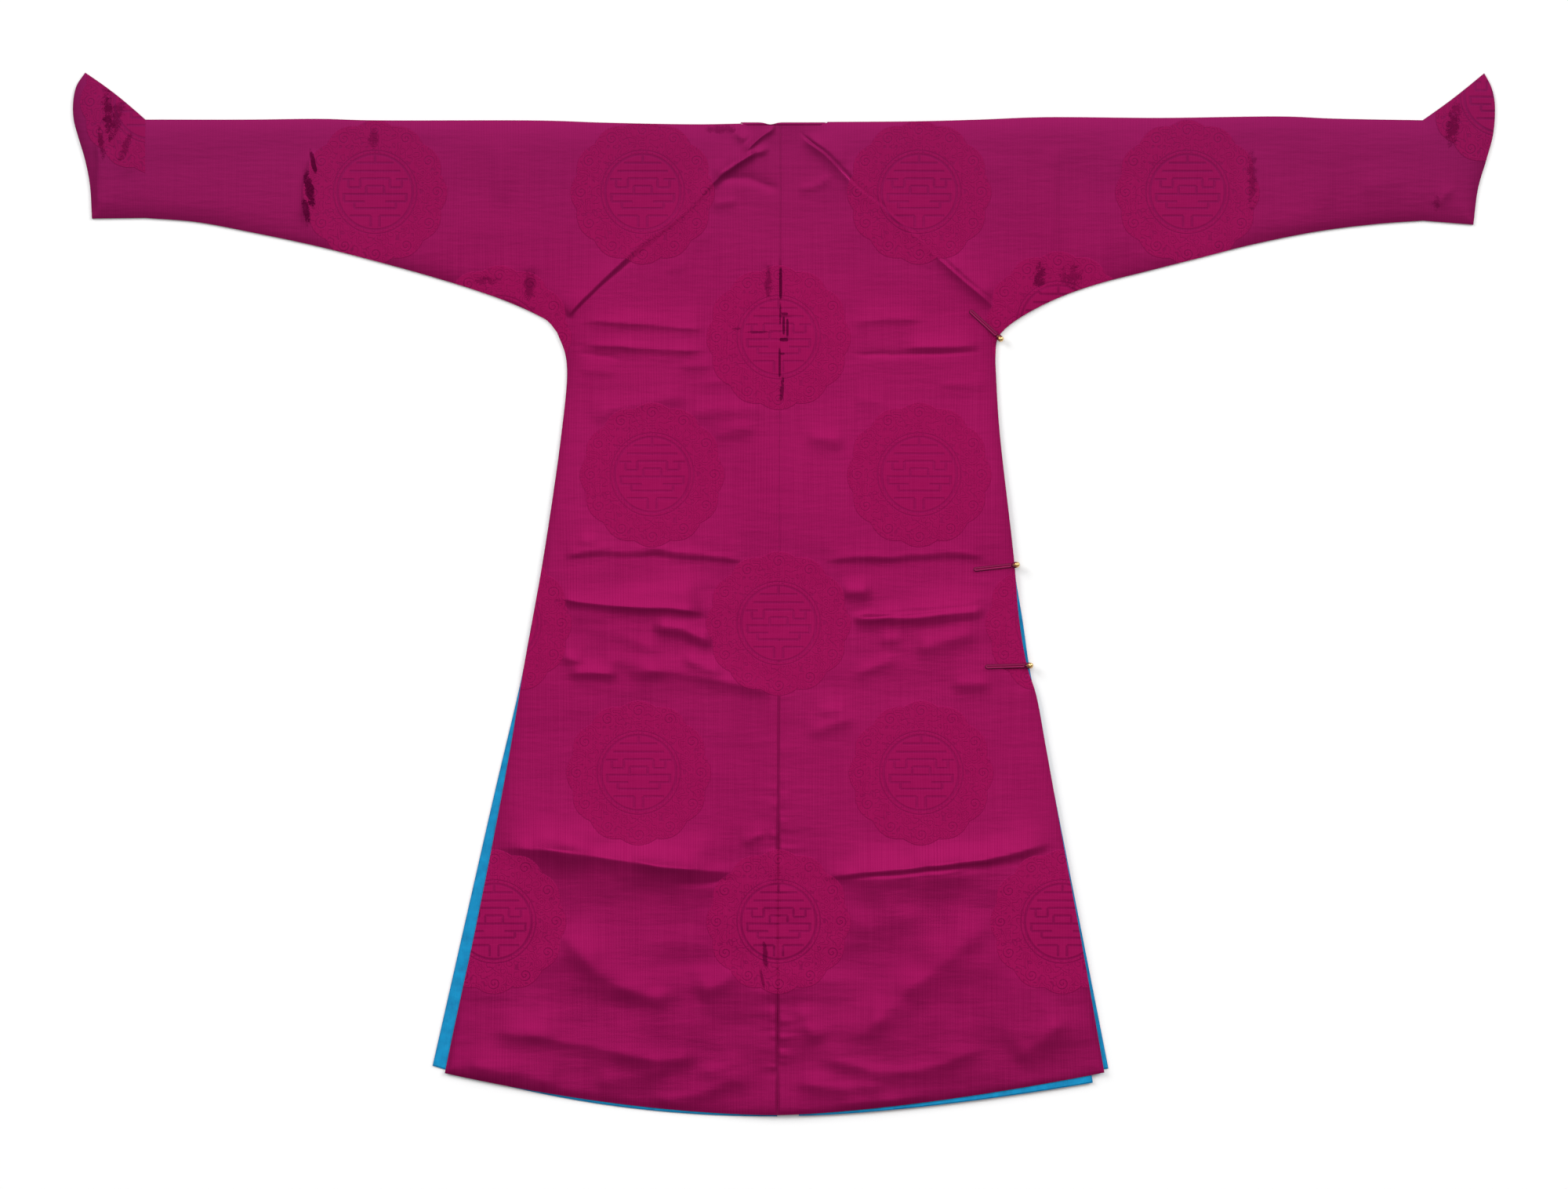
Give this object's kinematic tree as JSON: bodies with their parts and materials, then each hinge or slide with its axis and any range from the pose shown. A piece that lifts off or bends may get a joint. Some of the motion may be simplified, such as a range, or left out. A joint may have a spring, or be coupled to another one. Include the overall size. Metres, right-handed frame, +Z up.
{
  "type": "silk robe laid flat",
  "caption": "Long lined silk robe laid flat on its front, with sleeves cut in one with the body, flared cuffs, side slits and ball buttons at the right side.",
  "frame": {"origin": "centre of the bounding box in X and Y, on the surface that the robe lies on", "axes": "+X from the wearer's left cuff to the right cuff, +Y from the hem to the shoulders, +Z up out of the back of the robe"},
  "size_m": [2.1042, 1.544, 0.0156],
  "materials": {
    "silk": "magenta silk damask with tone-on-tone round medallions, satin ground",
    "lining": "plain bright blue silk",
    "cord": "rolled silk cord, satin",
    "gilt": "gilt, softly polished"
  },
  "bodies": {
    "root": {"front_left": "silk", "overlap": "silk", "lining_left": "lining", "lining_overlap": "lining", "front_right": "silk", "lining_right": "lining", "back_left": "silk", "sleeve_left_front": "silk", "sleeve_left_back": "silk", "cuff_left_front": "silk", "cuff_left_back": "silk", "back_right": "silk", "sleeve_right_front": "silk", "sleeve_right_back": "silk", "cuff_right_front": "silk", "cuff_right_back": "silk", "neck_binding_back": "silk", "neck_binding_front": "silk", "button_1": "gilt", "tail_1": "cord", "loop_1": "cord", "button_2": "gilt", "tail_2": "cord", "loop_2": "cord", "button_3": "gilt", "tail_3": "cord", "loop_3": "cord"}
  },
  "joints": []
}
